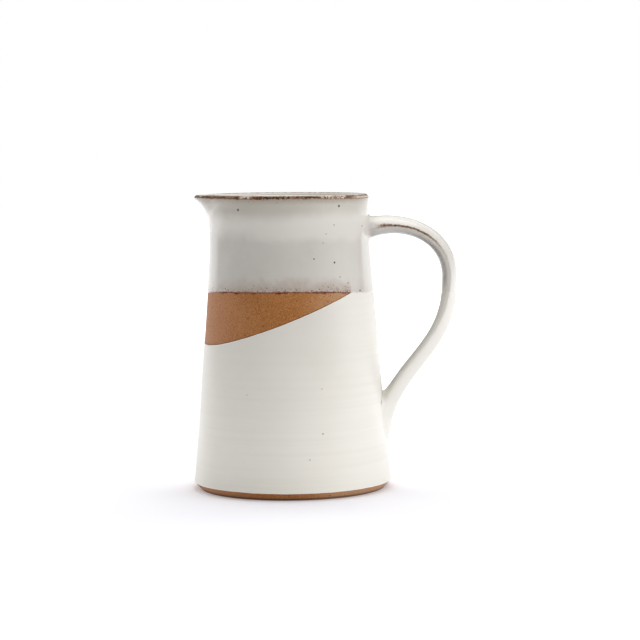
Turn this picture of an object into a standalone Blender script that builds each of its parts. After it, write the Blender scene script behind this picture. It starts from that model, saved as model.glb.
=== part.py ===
"""Stoneware carafe in the form of a handled jug.

A wheel-thrown clay body with a pulled pouring lip carries a pulled strap
handle, luted on with two pads of slip. Coats of glaze dress the clay: a lining
inside, an upper coat dipped from the rim, and a lower coat dipped at a slant
from the foot. A wedge of bare clay stays between the two outer coats.

Metres, +Z up. The origin is the middle of the standing face, the lip points
along -X and the handle along +X.
"""

import math

import bmesh
import bpy
from mathutils import Matrix, Vector
from mathutils.geometry import interpolate_bezier

# Thrown body
HEIGHT = 0.190
BASE_RADIUS = 0.0628
FOOT_INSET = 0.0036
FOOT_HEIGHT = 0.0048
NECK_RADIUS = 0.0502
NECK_DEPTH = 0.026
NECK_BLEND = 0.014
RIM_FLARE = 0.0008
RIM_FLARE_DEPTH = 0.009
WALL = 0.0045
FLOOR = 0.0065
FLOOR_CORNER = 0.012

# Pulled pouring lip
LIP_REACH = 0.0117
LIP_LIFT = 0.0008
LIP_DEPTH = 0.030
LIP_SHARPNESS = 3.5
LIP_SPREAD = math.radians(13)
PINCH = 0.0009
PINCH_ANGLE = math.radians(34)
PINCH_SPREAD = math.radians(8)

# Glaze coats and the slip that joins the handle
CLEARANCE = 0.0003
GLAZE = 0.0005
SLIP = 0.0010
SLIP_MARGIN = 0.0012
RIM_BARE = 0.0003
UPPER_DIP_DEPTH = 0.0641
UPPER_DIP_TILT = math.radians(4.4)
UPPER_DIP_RISE = math.radians(-97)
LOWER_DIP_HEIGHT = 0.1169
LOWER_DIP_TILT = math.radians(21.8)
LOWER_DIP_RISE = math.radians(14.6)

# Pulled strap handle, along its centreline in the XZ plane
HANDLE_TOP_DROP = 0.0232
HANDLE_BOTTOM_HEIGHT = 0.0412
HANDLE_OUT_DROP = 0.0545
FINGER_ROOM = 0.0443
TAIL_TURN = Vector((-0.65, 0, -0.76))
ROOT_DEPTH = 0.012
STRAP_WIDTH = 0.0224
STRAP_THICKNESS = 0.0084
STRAP_EDGE = 0.35
TOP_SWELL = 0.34
BOTTOM_SWELL = 0.26
SWELL_LENGTH = 0.016

# How strongly the strap's curve pulls at its ends and its outermost point, as shares of the spans it crosses
TOP_PULL_OUT = 0.46
TOP_PULL_UP = 0.27
ARCH_PULL = 0.87
FALL_PULL = 0.53
BOTTOM_PULL_OUT = 0.34
BOTTOM_PULL_UP = 0.47

# Fineness of the facets, and how close two points are taken as one
TURN_STEPS = 48
BLEND_STEPS = 4
LIP_STEPS = 5
ARC_STEPS = 5
STRAP_STEPS = 15
EDGE_STEPS = 4
WELD = 0.000002

NECK_Z = HEIGHT - NECK_DEPTH
RIM_RADIUS = WALL / 2
UPPER_DIP_Z = HEIGHT - UPPER_DIP_DEPTH
HANDLE_TOP_Z = HEIGHT - HANDLE_TOP_DROP
HANDLE_OUT_Z = HEIGHT - HANDLE_OUT_DROP
HANDLE_MIDDLE_Z = (HANDLE_TOP_Z + HANDLE_BOTTOM_HEIGHT) / 2


# Scene and small helpers


def clear_scene():
    for obj in list(bpy.data.objects):
        bpy.data.objects.remove(obj, do_unlink=True)


def new_collection(name):
    collection = bpy.data.collections.new(name)
    bpy.context.scene.collection.children.link(collection)
    return collection


def add_object(name, data, collection):
    obj = bpy.data.objects.new(name, data)
    collection.objects.link(obj)
    return obj


def as_mesh(obj, name, collection):
    """The evaluated object as a welded mesh in its place; the old object goes."""
    bpy.context.view_layer.update()
    graph = bpy.context.evaluated_depsgraph_get()
    mesh = bpy.data.meshes.new_from_object(obj.evaluated_get(graph))
    work = bmesh.new()
    work.from_mesh(mesh)
    bmesh.ops.remove_doubles(work, verts=work.verts, dist=WELD)
    bmesh.ops.recalc_face_normals(work, faces=work.faces)
    work.to_mesh(mesh)
    work.free()
    made = add_object(name, mesh, collection)
    made.matrix_world = obj.matrix_world
    bpy.data.objects.remove(obj, do_unlink=True)
    return made


def as_cutter(obj):
    obj.hide_render = True
    obj.display_type = "WIRE"
    return obj


def boolean(obj, other, operation):
    modifier = obj.modifiers.new(f"{operation.lower()} {other.name}", "BOOLEAN")
    modifier.operation = operation
    modifier.object = other


def thicken(obj, thickness):
    """Gives an open surface a wall on its outer side."""
    solidify = obj.modifiers.new("coat", "SOLIDIFY")
    solidify.thickness = thickness
    solidify.offset = 1
    solidify.use_even_offset = True


def clay_or_glaze(name, colour, roughness):
    material = bpy.data.materials.new(name)
    material.use_nodes = True
    shader = material.node_tree.nodes["Principled BSDF"]
    shader.inputs["Base Color"].default_value = (*colour, 1)
    shader.inputs["Roughness"].default_value = roughness
    shader.inputs["Metallic"].default_value = 0
    return material


def finish(obj, material, sharp_angle=math.radians(40)):
    obj.data.materials.clear()
    obj.data.materials.append(material)
    obj.data.shade_smooth()
    obj.data.set_sharp_from_angle(angle=sharp_angle)


# The thrown wall, as a profile of (radius, height) points


def ramp(t, blend):
    """0 well above the bend, t well below it, and a parabola in between."""
    if t <= -blend:
        return 0.0
    if t >= blend:
        return t
    return (t + blend) ** 2 / (4 * blend)


def outer_radius(z):
    """The outside of the wall: a cone that straightens into the neck and flares at the rim."""
    slope = (BASE_RADIUS - NECK_RADIUS) / (NECK_Z - FOOT_HEIGHT)
    flare = max(0.0, z - (HEIGHT - RIM_FLARE_DEPTH)) / RIM_FLARE_DEPTH
    return NECK_RADIUS + slope * ramp(NECK_Z - z, NECK_BLEND) + RIM_FLARE * flare**2


def spread(low, high, steps):
    return [low + (high - low) * i / steps for i in range(steps + 1)]


def wall_heights():
    """Rows of the wall, close together only where it bends, from the foot's chamfer to the rim's crown."""
    bend = spread(NECK_Z - NECK_BLEND, NECK_Z + NECK_BLEND, BLEND_STEPS)
    crown = HEIGHT - RIM_RADIUS
    lip = spread(max(bend) + (crown - max(bend)) / LIP_STEPS, crown, LIP_STEPS - 1)
    return [FOOT_HEIGHT, *bend, *lip]


def outer_wall():
    return [(outer_radius(z), z) for z in wall_heights()]


def inner_wall():
    """The inside of the wall, from the middle of the floor up to the rim's crown."""
    corner_z = FLOOR + FLOOR_CORNER
    corner_r = outer_radius(corner_z) - WALL - FLOOR_CORNER
    turn = spread(-math.pi / 2, 0, ARC_STEPS)
    corner = [
        (corner_r + FLOOR_CORNER * math.cos(a), corner_z + FLOOR_CORNER * math.sin(a))
        for a in turn
    ]
    rows = [z for z in wall_heights() if z > corner_z]
    return [(0.0, FLOOR), *corner, *[(outer_radius(z) - WALL, z) for z in rows]]


def crown():
    """The rounded top of the rim, from the inside over to the outside, without its two ends."""
    z = HEIGHT - RIM_RADIUS
    middle = outer_radius(z) - RIM_RADIUS
    turn = spread(math.pi, 0, ARC_STEPS)[1:-1]
    return [(middle + RIM_RADIUS * math.cos(a), z + RIM_RADIUS * math.sin(a)) for a in turn]


def between(profile, low, high):
    """The stretch of a rising profile between two heights, cut on its straight runs."""
    kept = [p for p in profile if low < p[1] < high]
    return [at_height(profile, low), *kept, at_height(profile, high)]


def at_height(profile, z):
    for (r0, z0), (r1, z1) in zip(profile, profile[1:]):
        if z0 <= z <= z1 and z1 > z0:
            return (r0 + (r1 - r0) * (z - z0) / (z1 - z0), z)
    return (profile[-1][0], z)


def offset(profile, distance):
    """A rising profile moved sideways by distance, to the right of its run (outwards on an outer wall)."""
    moved = []
    for i, point in enumerate(profile):
        before = Vector(profile[max(i - 1, 0)])
        after = Vector(profile[min(i + 1, len(profile) - 1)])
        along = (after - before).normalized()
        moved.append((point[0] + along.y * distance, point[1] - along.x * distance))
    return moved


# Turned pieces


def turned(name, profile, closed, collection):
    """A profile of (radius, height) points turned about the Z axis."""
    mesh = bpy.data.meshes.new(name)
    work = bmesh.new()
    points = [work.verts.new((r, 0, z)) for r, z in profile]
    for start, end in zip(points, points[1:]):
        work.edges.new((start, end))
    if closed:
        work.edges.new((points[-1], points[0]))
    work.to_mesh(mesh)
    work.free()
    obj = add_object(name + " profile", mesh, collection)
    screw = obj.modifiers.new("turn", "SCREW")
    screw.steps = TURN_STEPS
    screw.render_steps = TURN_STEPS
    screw.use_merge_vertices = True
    screw.merge_threshold = WELD
    return as_mesh(obj, name, collection)


def turned_coat(name, profile, thickness, gap, collection):
    """A coat of even thickness over a rising outer profile, clear of it by gap."""
    outside = offset(profile, gap + thickness)
    inside = offset(profile, gap)
    return turned(name, [*reversed(outside), *inside], True, collection)


def lip_pull(x, y, z):
    """How far the potter's fingers pull a point of the wall outwards and upwards at the lip."""
    drop = max(0.0, min(1.0, (HEIGHT - z) / LIP_DEPTH))
    height_share = (1 - drop) ** LIP_SHARPNESS
    turn = abs(math.atan2(y, -x))
    bulge = math.exp(-((turn / LIP_SPREAD) ** 2) / 2)
    pinch = math.exp(-(((turn - PINCH_ANGLE) / PINCH_SPREAD) ** 2) / 2)
    out = height_share * (LIP_REACH * bulge - PINCH * pinch)
    return Vector((-out, 0, LIP_LIFT * height_share * bulge))


def pull_lip(obj):
    for vertex in obj.data.vertices:
        if vertex.co.x < 0:
            vertex.co += lip_pull(*vertex.co)
    return obj


# The strap handle


def strap_route():
    """Points down the strap's centreline, from inside the wall at the top to inside it at the bottom."""
    top = Vector((outer_radius(HANDLE_TOP_Z) - WALL / 2, 0, HANDLE_TOP_Z))
    coats = 2 * (CLEARANCE + GLAZE)
    out_x = outer_radius(HANDLE_OUT_Z) + coats + FINGER_ROOM + STRAP_THICKNESS / 2
    out = Vector((out_x, 0, HANDLE_OUT_Z))
    bottom_x = outer_radius(HANDLE_BOTTOM_HEIGHT) - WALL / 2
    bottom = Vector((bottom_x, 0, HANDLE_BOTTOM_HEIGHT))
    arch_span = out - top
    fall_span = out - bottom
    top_pull = Vector((TOP_PULL_OUT * arch_span.x, 0, -TOP_PULL_UP * arch_span.z))
    bottom_pull = Vector((BOTTOM_PULL_OUT * fall_span.x, 0, BOTTOM_PULL_UP * fall_span.z))
    above = out - Vector((0, 0, ARCH_PULL * arch_span.z))
    below = out - Vector((0, 0, FALL_PULL * fall_span.z))
    arch = interpolate_bezier(top, top + top_pull, above, out, STRAP_STEPS)
    fall = interpolate_bezier(out, below, bottom + bottom_pull, bottom, STRAP_STEPS)
    root = top - top_pull.normalized() * ROOT_DEPTH
    tail = bottom + TAIL_TURN.normalized() * ROOT_DEPTH
    return [root, *arch, *fall[1:], tail]


def strap_swell(route):
    """The strap's size at each point: 1 along the grip, more where it spreads onto the wall."""
    lengths = [0.0]
    for start, end in zip(route, route[1:]):
        lengths.append(lengths[-1] + (end - start).length)
    total = lengths[-1]
    sizes = []
    for length in lengths:
        from_top = max(0.0, length - ROOT_DEPTH)
        from_bottom = max(0.0, total - length - ROOT_DEPTH)
        top_swell = TOP_SWELL * math.exp(-from_top / SWELL_LENGTH)
        bottom_swell = BOTTOM_SWELL * math.exp(-from_bottom / SWELL_LENGTH)
        sizes.append(1 + top_swell + bottom_swell)
    return sizes


def strap_section(growth, collection):
    """The strap's pointed oval section, with its thin edges to the sides."""
    half_width = STRAP_WIDTH / 2 + growth
    half_thickness = STRAP_THICKNESS / 2 + growth
    curve = bpy.data.curves.new("strap section", "CURVE")
    curve.dimensions = "2D"
    curve.resolution_u = EDGE_STEPS
    spline = curve.splines.new("BEZIER")
    spline.bezier_points.add(3)
    spline.use_cyclic_u = True
    corners = [(half_width, 0), (0, half_thickness), (-half_width, 0), (0, -half_thickness)]
    pulls = [(0, STRAP_EDGE * half_thickness), (-half_width / 2, 0)]
    for i, (point, corner) in enumerate(zip(spline.bezier_points, corners)):
        pull = Vector((*pulls[i % 2], 0)) * (1 if i < 2 else -1)
        point.co = (*corner, 0)
        point.handle_left = point.co - pull
        point.handle_right = point.co + pull
    return as_cutter(add_object("strap section", curve, collection))


def strap(name, growth, collection, filled=True):
    """The strap swept down its route, its section grown by growth all round."""
    section = strap_section(growth, collection)
    curve = bpy.data.curves.new(name, "CURVE")
    curve.dimensions = "3D"
    curve.twist_mode = "MINIMUM"
    curve.bevel_mode = "OBJECT"
    curve.bevel_object = section
    curve.use_fill_caps = filled
    route = strap_route()
    spline = curve.splines.new("POLY")
    spline.points.add(len(route) - 1)
    for point, place, size in zip(spline.points, route, strap_swell(route)):
        point.co = (*place, 1)
        point.radius = size
    made = as_mesh(add_object(name + " route", curve, collection), name, collection)
    bpy.data.objects.remove(section, do_unlink=True)
    return made


# Cutters


def wall_core(name, gap, collection):
    """The whole body as a filled solid, grown sideways by gap."""
    rows = [(r + gap, z) for r, z in outer_wall()]
    top = [(0.0, HEIGHT + gap), (rows[-1][0], HEIGHT + gap)]
    foot = [(rows[0][0], -gap), (0.0, -gap)]
    return as_cutter(turned(name, [*top, *reversed(rows), *foot], False, collection))


def dip_block(name, height, tilt, rise, above, collection):
    """A large block whose face is the surface of the glaze in the bucket: a plane tilted towards rise."""
    side = 4 * HEIGHT
    bpy.ops.mesh.primitive_cube_add(size=side)
    block = bpy.context.object
    block.name = name
    for holder in list(block.users_collection):
        holder.objects.unlink(block)
    collection.objects.link(block)
    lift = Matrix.Translation((0, 0, side / 2 if above else -side / 2))
    turn = Matrix.Rotation(rise, 4, "Z") @ Matrix.Rotation(-tilt, 4, "Y")
    block.matrix_world = Matrix.Translation((0, 0, height)) @ turn @ lift
    return as_cutter(block)


def main():
    clear_scene()
    parts = new_collection("stoneware_carafe")
    cutters = new_collection("cutters")

    clay = clay_or_glaze("stoneware clay", (0.27, 0.12, 0.045), 0.9)
    gloss = clay_or_glaze("grey white glaze", (0.55, 0.53, 0.48), 0.15)
    satin = clay_or_glaze("cream satin glaze", (0.74, 0.71, 0.62), 0.45)

    outside = outer_wall()
    glazed_top = HEIGHT - RIM_RADIUS - RIM_BARE

    # Clay body: floor, inner wall, rim, outer wall and chamfered foot in one turned piece
    shell = [*inner_wall(), *crown(), *reversed(outside), (BASE_RADIUS - FOOT_INSET, 0.0), (0.0, 0.0)]
    body = pull_lip(turned("clay_body", shell, False, parts))
    finish(body, clay)

    # Strap handle, cut to the wall with room for the slip
    handle = strap("handle_strap", 0, parts)
    joint_face = wall_core("joint face", 2 * CLEARANCE + SLIP, cutters)
    boolean(handle, joint_face, "DIFFERENCE")
    finish(handle, clay)

    # Slip pads, a little wider than the strap, on the wall at its two ends
    pad_outline = as_cutter(strap("slip outline", SLIP_MARGIN, cutters))
    pads = {
        "upper_joint_slip": (HANDLE_MIDDLE_Z, glazed_top),
        "lower_joint_slip": (FOOT_HEIGHT, HANDLE_MIDDLE_Z),
    }
    for name, (low, high) in pads.items():
        pad = turned_coat(name, between(outside, low, high), SLIP, CLEARANCE, parts)
        boolean(pad, pad_outline, "INTERSECT")
        finish(pad, clay)

    # Surfaces of the two dips, and the hole that each coat leaves around the slip pads
    pad_hole = as_cutter(strap("slip hole", SLIP_MARGIN + CLEARANCE, cutters))
    upper_dip = (UPPER_DIP_Z, UPPER_DIP_TILT, UPPER_DIP_RISE)
    seam = UPPER_DIP_Z - CLEARANCE
    below_upper = dip_block("below upper dip", *upper_dip, False, cutters)
    above_seam = dip_block("above seam", seam, UPPER_DIP_TILT, UPPER_DIP_RISE, True, cutters)
    lower_dip = (LOWER_DIP_HEIGHT, LOWER_DIP_TILT, LOWER_DIP_RISE)
    above_lower = dip_block("above lower dip", *lower_dip, True, cutters)

    # Upper coat, from the rim down to the upper dip
    coat = between(outside, FOOT_HEIGHT, glazed_top)
    upper = pull_lip(turned_coat("upper_glaze", coat, GLAZE, CLEARANCE, parts))
    boolean(upper, below_upper, "DIFFERENCE")
    boolean(upper, pad_hole, "DIFFERENCE")
    finish(upper, gloss)

    # Lower coat, from the slanting dip down to the foot's chamfer
    lower = turned_coat("lower_glaze", coat, GLAZE, CLEARANCE, parts)
    boolean(lower, above_lower, "DIFFERENCE")
    boolean(lower, above_seam, "DIFFERENCE")
    boolean(lower, pad_hole, "DIFFERENCE")
    finish(lower, satin)

    # Lining of the inside, up to the bare rim
    inside = inner_wall()
    lined = [p for p in inside if p[1] < glazed_top] + [at_height(inside[1:], glazed_top)]
    clay_side = offset(lined, -CLEARANCE)
    wet_side = offset(lined, -CLEARANCE - GLAZE)
    clay_side[0] = (0.0, FLOOR + CLEARANCE)
    wet_side[0] = (0.0, FLOOR + CLEARANCE + GLAZE)
    lining = turned("inner_glaze", [*wet_side, *reversed(clay_side)], False, parts)
    finish(pull_lip(lining), gloss)

    # Sleeves of the two coats on the strap
    sleeves = {
        "handle_upper_glaze": (below_upper, gloss),
        "handle_lower_glaze": (above_seam, satin),
    }
    for name, (dip, glaze) in sleeves.items():
        sleeve = strap(name, CLEARANCE, parts, filled=False)
        thicken(sleeve, GLAZE)
        boolean(sleeve, joint_face, "DIFFERENCE")
        boolean(sleeve, dip, "DIFFERENCE")
        finish(sleeve, glaze)


main()
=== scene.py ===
"""Looks of the stoneware carafe: the fine clay, the glaze coats and their finishes.

Metres, +Z up, in the frame of the solids: the lip points along -X, the handle
along +X, and the camera looks along +Y.
"""

import math

import bmesh
import bpy
from mathutils import Matrix, Vector, noise
from mathutils.geometry import interpolate_bezier


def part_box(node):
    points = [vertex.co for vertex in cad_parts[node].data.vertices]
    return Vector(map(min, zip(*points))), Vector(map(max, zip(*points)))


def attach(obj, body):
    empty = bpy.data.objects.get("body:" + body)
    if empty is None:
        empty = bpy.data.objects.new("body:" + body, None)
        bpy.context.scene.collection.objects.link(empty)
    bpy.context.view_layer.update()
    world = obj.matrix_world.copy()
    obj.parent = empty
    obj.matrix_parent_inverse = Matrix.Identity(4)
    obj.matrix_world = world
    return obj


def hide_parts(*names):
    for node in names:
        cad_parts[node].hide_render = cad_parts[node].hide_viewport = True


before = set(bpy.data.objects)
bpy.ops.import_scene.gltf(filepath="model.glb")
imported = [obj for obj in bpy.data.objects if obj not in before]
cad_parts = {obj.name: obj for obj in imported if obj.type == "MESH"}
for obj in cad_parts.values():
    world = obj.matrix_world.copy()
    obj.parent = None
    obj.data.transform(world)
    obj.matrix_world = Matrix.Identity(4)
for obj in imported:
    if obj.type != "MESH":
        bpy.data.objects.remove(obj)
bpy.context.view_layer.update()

# Thrown body
HEIGHT = 0.190
BASE_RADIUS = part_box("clay_body")[1].y
FOOT_INSET = 0.0036
FOOT_HEIGHT = 0.0048
FOOT_EDGE = 0.0006
FOOT_FLARE = 0.0008
FOOT_FLARE_HEIGHT = 0.014
NECK_RADIUS = 0.0502
NECK_DEPTH = 0.026
NECK_BLEND = 0.014
RIM_FLARE = 0.0008
RIM_FLARE_DEPTH = 0.009
WALL = 0.0045
FLOOR = 0.0065
FLOOR_CORNER = 0.012

# Pulled pouring lip
LIP_BLUNT = 0.0033
LIP_CURL = 0.0110
LIP_LIFT = 0.0013
CURL_DEPTH = 0.0053
CURL_SPREAD = math.radians(24)
LIP_LEAN = 0.0054
LEAN_DEPTH = 0.013
LEAN_SPREAD = math.radians(42)
LIP_THINNING = 0.40
RIM_SAG = 0.006
RIM_SAG_POWER = 6

# Marks of the potter's hands on the wall; the throwing lines wander by waves of (count, depth, start)
THROW_DEPTH = 0.000008
THROW_PITCH = 0.0042
THROW_WANDER = ((1, 0.17, 0.6), (2, 0.10, 2.0))
LUMP_DEPTH = 0.00014
LUMP_SIZE = 0.034
INNER_RING_DEPTH = 0.00020
INNER_RING_PITCH = 0.0065
INNER_RING_FADE = 0.016

# Glaze: the clay here fills the gap that the solids keep, and the coats lie on it
CLAY_LIFT = 0.0003
UPPER_COAT = 0.0005
LOWER_COAT = 0.0004
LINING = 0.0008
SUNK = 0.00008
BEAD = 0.0006
RIM_COVER = 0.0003
UPPER_DIP_DEPTH = 0.0641
UPPER_DIP_TILT = math.radians(4.4)
UPPER_DIP_RISE = math.radians(-97)
LOWER_DIP_HEIGHT = 0.1169
LOWER_DIP_TILT = math.radians(21.8)
LOWER_DIP_RISE = math.radians(14.6)
DIP_OVERLAP = 0.0012
BARE_START = -0.0004
BARE_FULL = 0.0006

# Unevenness of the dipped edges, as (depth, seed); its slow waves, as (count, share, seed share), and its
# quick ones, as (size, share)
UPPER_EDGE_WAVE = (0.00030, 1.0)
LOWER_EDGE_WAVE = (0.00018, 3.0)
RIM_EDGE_WAVE = (0.00022, 5.0)
FOOT_EDGE_WAVE = (0.00014, 7.0)
SLOW_WAVES = ((2, 0.6, 1.0), (5, 0.4, 1.7))
QUICK_WAVES = ((9, 0.7), (26, 0.5))

# Pulled strap handle, along its centreline in the XZ plane
HANDLE_TOP_DROP = 0.0232
HANDLE_BOTTOM_HEIGHT = 0.0412
HANDLE_OUT_DROP = 0.0545
FINGER_ROOM = 0.0449
COATS = 0.0016
TAIL_TURN = Vector((-0.65, 0, -0.76))
ROOT_DEPTH = 0.012
TAIL_DEPTH = 0.024
STRAP_WIDTH = 0.0224
STRAP_THICKNESS = 0.0084
ROOT_STRAP_EDGE = 0.58
TOP_STRAP_EDGE = 0.30
BOTTOM_STRAP_EDGE = 0.50
ROOT_END = 0.016
ARCH_START = 0.034
TOP_SWELL = 0.46
BOTTOM_SWELL = 0.26
SWELL_LENGTH = 0.020
SIDE_SWELL = 0.4
STRAP_SKIN = 0.00015
SECTION_FULLNESS = 0.5
RIDGE_DROP = 0.60
RIDGE_DROP_START = -0.006
RIDGE_DROP_LENGTH = 0.055
RIDGE_WIDTH = 0.00075
RIDGE_START = 0.016
RIDGE_FULL = 0.027
RIDGE_FADE = 0.044
RIDGE_END = 0.080
NECK_FILLET = 0.0034
NECK_FILLET_UNDER = 0.0018
TAIL_FILLET = 0.0085
TAIL_FILLET_SIDE = 0.0030
JOINT_SINK = 0.0002
CROTCH_SINK = 0.0015
CORE_TRIM = 2.5
LEAST_FILLET = 0.0004
JOINT_BLEND = 0.009
SHADE_OFF_NECK = 0.0035
CROTCH_TURN = -0.45
OPEN_TURN = 0.10
DIP_SEARCH = 3

# How much painted shade lies on the strap's inner face, where the handle is in shade: beside its ridges,
# along its middle, and the shares of the way between them at which the change starts and ends
ROOT_SHADE = (0.32, 0.46, 0.20, 0.85)
ARCH_SHADE = (0.04, 0.96, 0.25, 0.80)
FALL_SHADE = (0.0, 0.52, 0.15, 1.0)
ARCH_SHADE_START = 0.030
ARCH_SHADE_FULL = 0.062
FALL_SHADE_START = 0.086
FALL_SHADE_FULL = 0.103
# Where and how much the strap's pale colour, partly painted light, fades round the bend
BEND = 0.066
BEND_LENGTH = 0.026
BEND_LESS_PALE = 0.80

# How strongly the strap's curve pulls at its ends and its outermost point, as shares of its spans
TOP_PULL_OUT = 0.46
TOP_PULL_UP = 0.27
ARCH_PULL = 0.90
FALL_PULL = 0.50
BOTTOM_PULL_OUT = 0.34
BOTTOM_PULL_UP = 0.47

# Fineness of the meshes
TURN_STEPS = 320
LINING_STEPS = 240
ROW = 0.002
COAT_ROW = 0.0014
BEAD_ROWS = 6
CORNER_ROWS = 8
RIM_ROWS = 16
FOOT_ROWS = 5
STRAP_SIDES = 72
STRAP_ROWS = 150
JOINT_ROWS = 8
ROUTE_STEPS = 80
DIP_PASSES = 6
HALVINGS = 30
WELD = 0.000001

# The note of a place that is nowhere near an edge
FAR = 1.0

# Camera of the photograph, whose frame is 640 by 640 pixels
FRAME_PIXELS = 640
FOCAL_PIXELS = 2246
SENSOR = 36.0
CAMERA_PLACE = Vector((0.0189, -1.4498, 0.2260))
CAMERA_PITCH = math.radians(4.644)
CAMERA_ROLL = math.radians(-0.678)

# How strongly the coats mirror their surroundings
GLOSS_SHINE = 0.80
SATIN_SHINE = 0.55
STRAP_SHINE = 0.22

# Floor, and the world as it lights the jug and as it is mirrored in the glaze
FLOOR_SIZE = 6.0
FLOOR_DROP = 0.0001
FLOOR_COLOUR = (0.85, 0.84, 0.88, 1)
FLOOR_GLOW = 0.18
SHADOW_REACH = 0.14
SHADOW_END = 0.45
SKY_LIGHT = 0.53
GAP_LOW = 0.04
GAP_HIGH = 0.40
GAP_BLEND = 0.10
GAP_DIMMING = 0.8
SWEEP_EDGE = 0.66
SWEEP_BLEND = 0.18
SWEEP_LIGHT = 1.40
ROOM_LIGHT = 0.35

# Lamps, as name, place, width, height, power, and whether the glaze mirrors them
LAMPS = (
    ("key from the right", (1.62, -0.57, 0.42), 1.4, 1.2, 14.5, False),
    ("fill from the front", (-0.2, -1.7, 0.55), 2.0, 1.2, 2.4, False),
    ("edge from the left", (-1.25, 1.28, 0.45), 1.4, 1.2, 12, False),
    ("edge from the right", (0.9, 1.55, 0.45), 1.2, 1.2, 3.6, False),
    ("overhead", (0.2, 0.6, 1.85), 1.2, 1.2, 15, True),
)

# Iron specks, and pale patches of the rim that are partly painted highlights, as pixels of the photograph and
# widths in millimetres
SPECK_EDGE = 0.8
SPECK_CORE = 0.45
UPPER_SPECKS = (
    (238, 210, 1.3), (339, 206, 1.3), (334, 225, 0.6), (362, 226, 0.7), (334.5, 262.5, 1.0),
    (314, 259, 0.7), (340, 277, 0.6), (348, 283, 0.7), (360, 290.5, 1.0), (326, 234, 0.5),
    (323, 243, 0.5), (254, 286, 0.5),
)
RIM_GLINT_PATCHES = ((244, 196.5, 7.0), (330, 196.0, 8.0), (343, 195.5, 7.0), (359, 197.0, 5.0))
LOWER_SPECKS = (
    (322, 389, 0.6), (323, 434, 0.9), (310, 460, 0.7), (247, 395, 0.5), (383, 398, 0.5),
)

COAT_FACE = CLAY_LIFT + UPPER_COAT
NECK_Z = HEIGHT - NECK_DEPTH
RIM_RADIUS = WALL / 2
CROWN_Z = HEIGHT - RIM_RADIUS
GLAZED_TOP = CROWN_Z + RIM_COVER
UPPER_DIP_Z = HEIGHT - UPPER_DIP_DEPTH
HANDLE_TOP_Z = HEIGHT - HANDLE_TOP_DROP
HANDLE_OUT_Z = HEIGHT - HANDLE_OUT_DROP
TURN = 2 * math.pi
QUARTER = math.pi / 2
STRAP_SHARES = [i / STRAP_SIDES for i in range(STRAP_SIDES)]


# The thrown wall


def ramp(t, blend):
    """0 well above the bend, t well below it, and a parabola in between."""
    if t <= -blend:
        return 0.0
    if t >= blend:
        return t
    return (t + blend) ** 2 / (4 * blend)


def outer_radius(z):
    """The outside of the wall: a cone that straightens into the neck and flares at the rim."""
    slope = (BASE_RADIUS - NECK_RADIUS) / (NECK_Z - FOOT_HEIGHT)
    flare = max(0.0, z - (HEIGHT - RIM_FLARE_DEPTH)) / RIM_FLARE_DEPTH
    kick = max(0.0, FOOT_FLARE_HEIGHT - max(z, FOOT_HEIGHT)) / (FOOT_FLARE_HEIGHT - FOOT_HEIGHT)
    cone = NECK_RADIUS + slope * ramp(NECK_Z - z, NECK_BLEND)
    return cone + RIM_FLARE * flare**2 + FOOT_FLARE * kick**2


def smooth_step(low, high, value):
    t = max(0.0, min(1.0, (value - low) / (high - low)))
    return t * t * (3 - 2 * t)


def mid_way(first, second, share):
    return first + (second - first) * share


def hand_marks(angle, z):
    """Shallow throwing lines and broader lumps that the hands leave on the outside."""
    wander = sum(depth * math.sin(count * angle + start) for count, depth, start in THROW_WANDER)
    lines = noise.noise((0, 0, z / THROW_PITCH + wander))
    radius = outer_radius(z)
    place = Vector((radius * math.cos(angle), radius * math.sin(angle), z)) / LUMP_SIZE
    return THROW_DEPTH * lines + LUMP_DEPTH * noise.noise(place)


def inner_rings(angle, z):
    """The spiral ridge that the fingers leave on the inside, smoothed out near the rim and the floor."""
    fade = smooth_step(0, INNER_RING_FADE, HEIGHT - z) * smooth_step(FLOOR, FLOOR + INNER_RING_FADE, z)
    return INNER_RING_DEPTH * fade * math.sin(TURN * z / INNER_RING_PITCH + angle)


def lip_pull(x, y, z):
    """How far the fingers pull a point of the wall outwards and upwards at the lip."""
    drop = max(LIP_BLUNT, HEIGHT - z)
    turn = abs(math.atan2(y, -x))
    spout = smooth_step(CURL_SPREAD, 0.0, turn)
    curl = spout * math.exp(-drop / CURL_DEPTH)
    lean = smooth_step(LEAN_SPREAD, 0.0, turn) * math.exp(-drop / LEAN_DEPTH)
    thinning = LIP_THINNING * spout * max(0.0, z - CROWN_Z)
    return Vector((-LIP_CURL * curl - LIP_LEAN * lean, 0, LIP_LIFT * curl - thinning))


def pulled(place):
    """A point of the wall after the lip was pulled and the soft rim sagged a little towards the handle."""
    sag = Vector((0, 0, -RIM_SAG * place.x * max(0.0, place.z / HEIGHT) ** RIM_SAG_POWER))
    return place + sag + (lip_pull(*place) if place.x < 0 else Vector())


def on_wall(angle, z, lift):
    """A point on the outside of the pulled wall, lifted off the solid clay."""
    radius = outer_radius(z) + lift + hand_marks(angle, z)
    return pulled(Vector((radius * math.cos(angle), radius * math.sin(angle), z)))


def spread(low, high, steps):
    return [low + (high - low) * i / steps for i in range(steps + 1)]


def rows_between(low, high):
    return spread(low, high, math.ceil(abs(high - low) / ROW))


def arc(middle_r, middle_z, reach_r, reach_z, start, end, rows):
    """Points of (radius, height) round a middle, from one angle to another."""
    turns = spread(start, end, rows)
    return [(middle_r + reach_r * math.cos(a), middle_z + reach_z * math.sin(a)) for a in turns]


# The inside corner of the floor
CORNER_Z = FLOOR + FLOOR_CORNER
CORNER_R = outer_radius(CORNER_Z) - WALL - FLOOR_CORNER


# The dips


def dip_height(x, y, height, tilt, rise):
    """Height of the glaze's surface in the bucket over a point."""
    return height + math.tan(tilt) * (x * math.cos(rise) + y * math.sin(rise))


def dip_edge(angle, height, tilt, rise):
    """Height at which the surface of a dip cuts the outside of the wall."""
    z = height
    for _ in range(DIP_PASSES):
        radius = outer_radius(z)
        z = dip_height(radius * math.cos(angle), radius * math.sin(angle), height, tilt, rise)
    return z


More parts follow.
